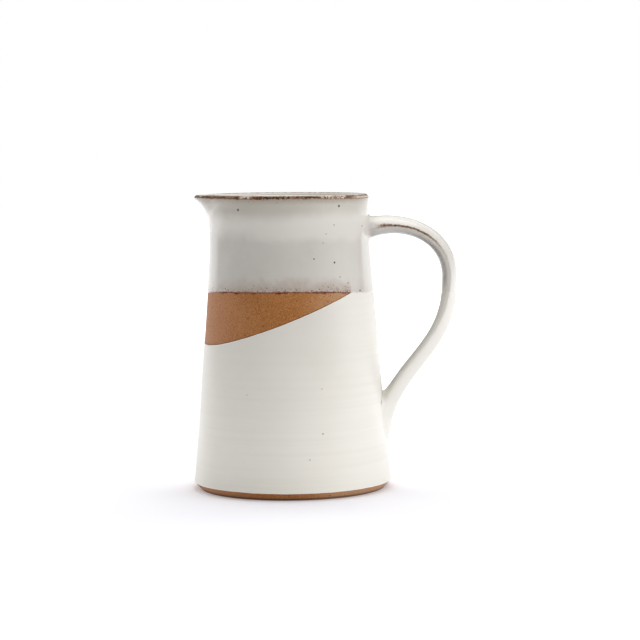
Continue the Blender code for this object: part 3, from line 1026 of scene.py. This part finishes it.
class Strap:
    """The strap's route, and points on its skin by distance along it and share of the way round it."""

    def __init__(self):
        self.route = strap_route()
        self.lengths = [0.0]
        for start, end in zip(self.route, self.route[1:]):
            self.lengths.append(self.lengths[-1] + (end - start).length)
        self.total = self.lengths[-1]
        outermost = max(range(len(self.route)), key=lambda i: self.route[i].x)
        self.outermost = self.lengths[outermost]

    def centre(self, along):
        along = max(0.0, min(self.total, along))
        i = 1
        while i < len(self.lengths) - 1 and self.lengths[i] < along:
            i += 1
        share = (along - self.lengths[i - 1]) / (self.lengths[i] - self.lengths[i - 1])
        return self.route[i - 1].lerp(self.route[i], share)

    def heading(self, along):
        step = self.total / (2 * ROUTE_STEPS)
        return (self.centre(along + step) - self.centre(along - step)).normalized()

    def swell(self, along):
        from_top = max(0.0, along - ROOT_DEPTH)
        from_bottom = max(0.0, self.total - along - TAIL_DEPTH)
        top_swell = TOP_SWELL * math.exp(-from_top / SWELL_LENGTH)
        return 1 + top_swell + BOTTOM_SWELL * math.exp(-from_bottom / SWELL_LENGTH)

    def section(self, along, share):
        """Shares of the half width and half thickness: a pointed oval, rounder towards the tail."""
        quarter, t = divmod(4 * share, 1)
        if quarter % 2:
            t = 1 - t
        arch_edge = mid_way(ROOT_STRAP_EDGE, TOP_STRAP_EDGE, smooth_step(ROOT_END, ARCH_START, along))
        tail_share = smooth_step(self.outermost, self.total - TAIL_DEPTH, along)
        edge = mid_way(arch_edge, BOTTOM_STRAP_EDGE, tail_share)
        wide = (1 - t) ** 3 + 3 * t * (1 - t) ** 2 + 3 * SECTION_FULLNESS * t * t * (1 - t)
        thick = 3 * edge * t * (1 - t) ** 2 + 3 * t * t * (1 - t) + t**3
        return (wide if quarter in (0, 3) else -wide), (thick if quarter < 2 else -thick)

    def ridge_drop(self, along):
        """How far the side ridges lie inside the middle of the thickness, as a share of half of it."""
        start = self.outermost + RIDGE_DROP_START
        return RIDGE_DROP * smooth_step(start, start + RIDGE_DROP_LENGTH, along)

    def skin(self, along, share, growth):
        """A point on the strap grown by growth, before it is blended into the wall, and the way out there."""
        forward = self.heading(along)
        outward = Vector((-forward.z, 0, forward.x))
        wide, thick = self.section(along, share)
        size = self.swell(along)
        half_width = (STRAP_WIDTH / 2 + growth) * (1 + SIDE_SWELL * (size - 1))
        half_thickness = (STRAP_THICKNESS / 2 + growth) * size
        drop = self.ridge_drop(along)
        level = thick * (1 + drop if thick > 0 else 1 - drop) - drop
        place = self.centre(along) + Vector((0, wide * half_width, 0)) + outward * (level * half_thickness)
        way = Vector((0, wide / half_width, 0)) + outward * (thick / half_thickness)
        return place, way.normalized()

    def fillet(self, along, share, growth):
        """Reach of the hollow curve at a joint: short at the neck and its underside, long at the tail."""
        thick = self.section(along, share)[1]
        if along < self.outermost:
            reach = mid_way(NECK_FILLET_UNDER, NECK_FILLET, (1 + thick) / 2)
        else:
            reach = mid_way(TAIL_FILLET_SIDE, TAIL_FILLET, abs(thick))
        return max(LEAST_FILLET, reach - CORE_TRIM * (COAT_FACE - growth))

    def blended(self, along, share, growth):
        """The same point, drawn near the wall into a hollow curve that meets the wall flat."""
        place, way = self.skin(along, share, growth)
        clear = clear_of_wall(place)
        reach = self.fillet(along, share, growth)
        if clear >= reach:
            return place
        wall_way = Vector((place.x, place.y, 0)).normalized()
        open_share = openness(way, wall_way)
        flat = ramp(clear, reach) - JOINT_SINK * smooth_step(0, -reach, clear)
        tight_push = reach - math.sqrt(reach**2 - (reach - max(0.0, clear)) ** 2)
        lift = mid_way(clear, flat, open_share)
        push = mid_way(tight_push, ramp(-clear, reach), open_share)
        return place + wall_way * (lift - clear) + (way - way.dot(wall_way) * wall_way) * push

    def joint(self, share, growth, outside, inside):
        """Distance along the strap at which its hollow curve runs out on the wall."""
        place, way = self.skin(inside, share, growth)
        open_share = openness(way, Vector((place.x, place.y, 0)).normalized())
        depth = mid_way(CROTCH_SINK, self.fillet(inside, share, growth), open_share)
        return self.crossing(share, growth, outside, inside, lambda place: clear_of_wall(place) + depth)

    def root_start(self, share, growth):
        return self.joint(share, growth, self.outermost / 2, 0.0)

    def tail_end(self, share, growth):
        return self.joint(share, growth, (self.outermost + self.total) / 2, self.total)

    def dip_end(self, share, growth):
        """Distance along the strap at which the upper dip ends."""
        reach = self.outermost + (HANDLE_OUT_Z - UPPER_DIP_Z) * DIP_SEARCH
        return self.crossing(share, growth, self.outermost / 2, reach, above_upper_dip)

    def crossing(self, share, growth, low, high, measure):
        """Distance along the strap at which a measure of its skin falls through 0 between low and high."""
        start = measure(self.skin(low, share, growth)[0]) > 0
        for _ in range(HALVINGS):
            middle = (low + high) / 2
            if (measure(self.skin(middle, share, growth)[0]) > 0) == start:
                low = middle
            else:
                high = middle
        return low


def clear_of_wall(place):
    """How far a point lies off the face of the coat on the wall."""
    marks = hand_marks(math.atan2(place.y, place.x), place.z)
    return place.xy.length - outer_radius(place.z) - marks - COAT_FACE


def openness(way, wall_way):
    """1 where the strap meets the wall in an open angle, and 0 in the narrow crotch of a joint."""
    return smooth_step(CROTCH_TURN, OPEN_TURN, way.dot(wall_way))


def painted_strap_shade(along, thick):
    """How much painted shade lies at a place on the strap: most in the middle of its inner face."""
    on_arch = smooth_step(ARCH_SHADE_START, ARCH_SHADE_FULL, along)
    on_fall = smooth_step(FALL_SHADE_START, FALL_SHADE_FULL, along)
    zones = zip(ROOT_SHADE, ARCH_SHADE, FALL_SHADE)
    values = [mid_way(mid_way(root, arch, on_arch), fall, on_fall) for root, arch, fall in zones]
    at_ridge, at_middle, start, full = values
    return mid_way(at_ridge if thick < 0 else 0.0, at_middle, smooth_step(start, full, -thick))


def above_upper_dip(place):
    return place.z - dip_height(place.x, place.y, UPPER_DIP_Z, UPPER_DIP_TILT, UPPER_DIP_RISE)


def strap_coat(strap, face, starts, ends, notes_at):
    """A coat on the strap, up to its face, between two ends that vary round it."""
    section = coat_rows(STRAP_ROWS, STRAP_ROWS // 2)

    def place(column, row):
        side = round(column * STRAP_SIDES) % STRAP_SIDES
        share, past, depth = section[row]
        low = starts[side] + BEAD
        high = ends[side] - BEAD
        along = low + share * (high - low) + past
        growth = mid_way(face, STRAP_SKIN, depth)
        spot = strap.blended(along, STRAP_SHARES[side], growth)
        return spot, notes_at(spot, STRAP_SHARES[side], along, ends[side])

    return bent_sheet(STRAP_SIDES, len(section) - 1, place, GLAZE_NOTES)


def make_handle_upper(strap, finish):
    """The glossy coat on the strap, from the neck to the dip edge; it breaks brown along the side ridges."""
    starts = [strap.root_start(share, COAT_FACE) for share in STRAP_SHARES]
    ends = [strap.dip_end(share, COAT_FACE) for share in STRAP_SHARES]

    def notes_at(spot, share, along, end):
        to_side = min(abs(share - side) for side in (0.0, 0.5, 1.0))
        worn = smooth_step(RIDGE_START, RIDGE_FULL, along) * smooth_step(RIDGE_END, RIDGE_FADE, along)
        ridge = 2 * to_side * STRAP_THICKNESS
        clear = clear_of_wall(spot)
        off_wall = smooth_step(0.0, JOINT_BLEND, clear)
        # The strap is paler than the wall, partly painted light; less so at the bend, and blended into the
        # wall at the joint.
        pale = off_wall * (1 - BEND_LESS_PALE * math.exp(-(((along - BEND) / BEND_LENGTH) ** 2)))
        # Painted shade on the strap's inner face, faded out near the neck.
        strap_shade = smooth_step(0.0, SHADE_OFF_NECK, clear) * painted_strap_shade(along, strap.section(along, share)[1])
        return (end - along, FAR, ridge, worn, 0.0, pale, strap_shade)

    return finished("handle_upper_coat", strap_coat(strap, COAT_FACE, starts, ends, notes_at), finish)


def make_handle_lower(strap, finish):
    """The satin coat on the strap, from just under the upper coat to the tail on the belly."""
    face = CLAY_LIFT + LOWER_COAT
    starts = [strap.dip_end(share, face) - DIP_OVERLAP for share in STRAP_SHARES]
    ends = [strap.tail_end(share, face) for share in STRAP_SHARES]

    def notes_at(spot, share, along, end):
        # The strap's paler colour, partly painted light, is blended into the wall near the tail.
        off_wall = smooth_step(0.0, JOINT_BLEND, clear_of_wall(spot))
        # Painted shade on the strap's inner face, blended out near the tail.
        strap_shade = off_wall * painted_strap_shade(along, strap.section(along, share)[1])
        return (FAR, FAR, FAR, 0.0, 0.0, off_wall, strap_shade)

    return finished("handle_lower_coat", strap_coat(strap, face, starts, ends, notes_at), finish)


def joint_face(middle, edge, share):
    """A point of the face by which the strap sits on the wall, from its middle to its edge."""
    place = middle.lerp(edge, share)
    outwards = Vector((place.x, place.y, 0)).normalized()
    clear = mid_way(-JOINT_SINK, clear_of_wall(edge), share)
    return place + outwards * (clear - clear_of_wall(place))


def make_strap(strap, finish):
    """The solid strap of clay under its coats, flared at both ends by the slip that lutes it to the wall."""
    starts = [strap.root_start(share, 0.0) for share in STRAP_SHARES]
    ends = [strap.tail_end(share, 0.0) for share in STRAP_SHARES]
    root_edge = [strap.blended(along, share, STRAP_SKIN) for along, share in zip(starts, STRAP_SHARES)]
    tail_edge = [strap.blended(along, share, STRAP_SKIN) for along, share in zip(ends, STRAP_SHARES)]
    root_middle = sum(root_edge, Vector()) / STRAP_SIDES
    tail_middle = sum(tail_edge, Vector()) / STRAP_SIDES
    rows = STRAP_ROWS + 2 * JOINT_ROWS

    def place(column, row):
        side = round(column * STRAP_SIDES) % STRAP_SIDES
        if row < JOINT_ROWS:
            spot = joint_face(root_middle, root_edge[side], row / JOINT_ROWS)
        elif row > rows - JOINT_ROWS:
            spot = joint_face(tail_middle, tail_edge[side], (rows - row) / JOINT_ROWS)
        else:
            along = mid_way(starts[side], ends[side], (row - JOINT_ROWS) / STRAP_ROWS)
            spot = strap.blended(along, STRAP_SHARES[side], STRAP_SKIN)
        return spot, (-FAR, FAR, FAR)

    return finished("pulled_strap", bent_sheet(STRAP_SIDES, rows, place, CLAY_NOTES), finish)


# Stage


def make_floor():
    """A wide pale floor that keeps the shadow near the jug and goes white to the camera away from it."""
    form = bmesh.new()
    bmesh.ops.create_grid(form, x_segments=1, y_segments=1, size=FLOOR_SIZE)
    material, tree, shader, place = new_finish("pale floor")
    shader.inputs["Base Color"].default_value = FLOOR_COLOUR
    shader.inputs["Roughness"].default_value = 0.9
    shader.inputs["Specular IOR Level"].default_value = 0.0
    light_path = add_node(tree, "ShaderNodeLightPath").outputs
    shown = larger(tree, light_path["Is Camera Ray"], light_path["Is Glossy Ray"])
    fill = eased(tree, length_of(tree, place), SHADOW_REACH, SHADOW_END, FLOOR_GLOW, 1.0)
    glow = add_node(tree, "ShaderNodeEmission", {"Strength": times(tree, shown, fill)})
    both = add_node(tree, "ShaderNodeAddShader", {0: shader.outputs[0], 1: glow.outputs[0]})
    tree.links.new(both.outputs[0], tree.nodes["Material Output"].inputs["Surface"])
    floor = finished("floor", form, material)
    floor.location.z = -FLOOR_DROP


def make_world():
    """White to the camera and softer as light; the glaze mirrors a white sweep and a dimmer room."""
    world = bpy.data.worlds.new("white studio")
    world.use_nodes = True
    tree = world.node_tree
    light_path = add_node(tree, "ShaderNodeLightPath").outputs
    seen = larger(tree, light_path["Is Camera Ray"], light_path["Is Transmission Ray"])
    plain = eased(tree, seen, 0.0, 1.0, SKY_LIGHT, 1.0)
    heading = add_node(tree, "ShaderNodeTexCoord").outputs["Generated"]
    way = parts_of(tree, heading)
    low = eased(tree, way["Z"], GAP_LOW, GAP_LOW + GAP_BLEND)
    high = eased(tree, way["Z"], GAP_HIGH + GAP_BLEND, GAP_HIGH)
    gap = times(tree, low, high)
    lit = eased(tree, gap, 0.0, 1.0, 1.0, 1 - GAP_DIMMING)
    around = eased(tree, way["Y"], SWEEP_EDGE - SWEEP_BLEND, SWEEP_EDGE, ROOM_LIGHT, SWEEP_LIGHT)
    mirrored = minus(tree, times(tree, lit, around), SKY_LIGHT)
    extra = times(tree, light_path["Is Glossy Ray"], mirrored)
    strength = plus(tree, plain, extra)
    tree.nodes["Background"].inputs["Color"].default_value = (1, 1, 1, 1)
    tree.links.new(strength, tree.nodes["Background"].inputs["Strength"])
    bpy.context.scene.world = world


def add_lamp(name, place, width, height, power, mirrored):
    """A soft rectangular lamp that faces the middle of the jug."""
    data = bpy.data.lights.new(name, "AREA")
    data.shape = "RECTANGLE"
    data.size = width
    data.size_y = height
    data.energy = power
    lamp = bpy.data.objects.new(name, data)
    lamp.location = place
    aim = Vector((0, 0, HEIGHT / 2)) - lamp.location
    lamp.rotation_euler = aim.to_track_quat("-Z", "Y").to_euler()
    lamp.visible_glossy = mirrored
    bpy.context.scene.collection.objects.link(lamp)


def main():
    bpy.context.scene.view_settings.view_transform = "Standard"
    make_camera()
    make_world()
    for lamp in LAMPS:
        add_lamp(*lamp)
    make_floor()

    clay = clay_finish(seen_specks(RIM_GLINT_PATCHES))
    upper_specks = seen_specks(UPPER_SPECKS)
    lower_specks = seen_specks(LOWER_SPECKS)
    gloss = gloss_finish("grey white gloss glaze", upper_specks, GLOSS_SHINE)
    satin = satin_finish("cream satin glaze", lower_specks, SATIN_SHINE)
    strap_gloss = gloss_finish("gloss glaze on the strap", upper_specks, STRAP_SHINE)
    strap_satin = satin_finish("satin glaze on the strap", lower_specks, STRAP_SHINE)
    strap = Strap()
    pieces = [
        (make_body(clay), "stoneware", ["clay_body"]),
        (make_lining(gloss), "gloss_glaze", ["inner_glaze"]),
        (make_upper_coat(gloss), "gloss_glaze", ["upper_glaze"]),
        (make_lower_coat(satin), "satin_glaze", ["lower_glaze"]),
        (make_handle_upper(strap, strap_gloss), "gloss_glaze", ["handle_upper_glaze"]),
        (make_handle_lower(strap, strap_satin), "satin_glaze", ["handle_lower_glaze"]),
        (make_strap(strap, clay), "stoneware", ["handle_strap", "upper_joint_slip", "lower_joint_slip"]),
    ]
    for piece, slot, nodes in pieces:
        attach(piece, "root")
        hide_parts(*nodes)


main()
